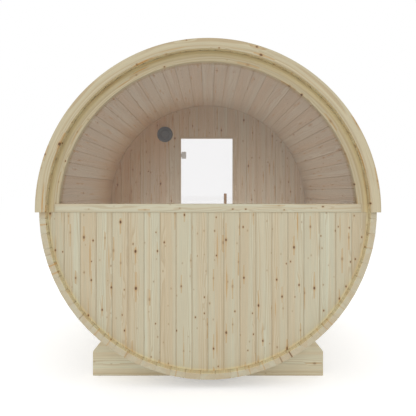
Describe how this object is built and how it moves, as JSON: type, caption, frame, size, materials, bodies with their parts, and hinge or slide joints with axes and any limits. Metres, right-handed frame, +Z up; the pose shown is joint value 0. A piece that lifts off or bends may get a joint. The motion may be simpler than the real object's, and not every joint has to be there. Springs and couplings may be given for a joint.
{
  "type": "barrel sauna",
  "caption": "Round timber sauna cabin of lengthwise staves on two cradles, with a half-round window over a boarded wall at one end and a hinged glass door at the other.",
  "frame": {"origin": "on the ground, under the middle of the barrel", "axes": "+Z up, Y along the barrel's axis: -Y is the window end, +Y is the door end, +X is to the right when looking at the window end"},
  "size_m": [2.308, 2.356, 2.349],
  "materials": {
    "stave_spruce": "planed, untreated",
    "wall_spruce": "planed, untreated",
    "fascia_spruce": "planed, untreated",
    "frame_spruce": "planed, untreated",
    "roof_spruce": "planed, untreated",
    "cradle_spruce": "planed, untreated",
    "floor_spruce": "planed, untreated",
    "handle_wood": "oiled",
    "window_glass": "clear, toughened",
    "door_glass": "clear, toughened",
    "hinge_steel": "brushed",
    "band_steel": "satin strip",
    "vent_grey": "matt"
  },
  "bodies": {
    "cabin": {"cradle_door_end": "cradle_spruce", "cradle_window_end": "cradle_spruce", "door_hinge_brackets": "hinge_steel", "door_stop_frame": "frame_spruce", "door_wall_left": "wall_spruce", "door_wall_over": "wall_spruce", "door_wall_right": "wall_spruce", "door_wall_under": "wall_spruce", "fascia_door_end": "fascia_spruce", "fascia_window_end": "fascia_spruce", "floor_bearers": "floor_spruce", "floor_boards": "floor_spruce", "lower_wall": "wall_spruce", "roof_left_lower": "roof_spruce", "roof_left_upper": "roof_spruce", "roof_right_lower": "roof_spruce", "roof_right_upper": "roof_spruce", "shell_segment_01": "stave_spruce", "shell_segment_02": "stave_spruce", "shell_segment_03": "stave_spruce", "shell_segment_04": "stave_spruce", "shell_segment_05": "stave_spruce", "shell_segment_06": "stave_spruce", "shell_segment_07": "stave_spruce", "shell_segment_08": "stave_spruce", "shell_segment_09": "stave_spruce", "shell_segment_10": "stave_spruce", "shell_segment_11": "stave_spruce", "shell_segment_12": "stave_spruce", "shell_segment_13": "stave_spruce", "shell_segment_14": "stave_spruce", "shell_segment_15": "stave_spruce", "shell_segment_16": "stave_spruce", "shell_segment_17": "stave_spruce", "sill_rail": "frame_spruce", "tension_bands": "band_steel", "vent_valve": "vent_grey", "window_arch": "frame_spruce", "window_glass": "window_glass", "window_retainer": "frame_spruce"},
    "door": {"door_glass": "door_glass", "door_hinge_leaves": "hinge_steel", "door_handle": "handle_wood", "door_handle_standoffs": "hinge_steel"}
  },
  "joints": [
    {"name": "door_swing", "type": "hinge", "parent": "cabin", "child": "door", "pos_m": [-0.328, 1.114, 1.093], "axis": [0, 0, 1], "range_deg": [0, 100]}
  ]
}
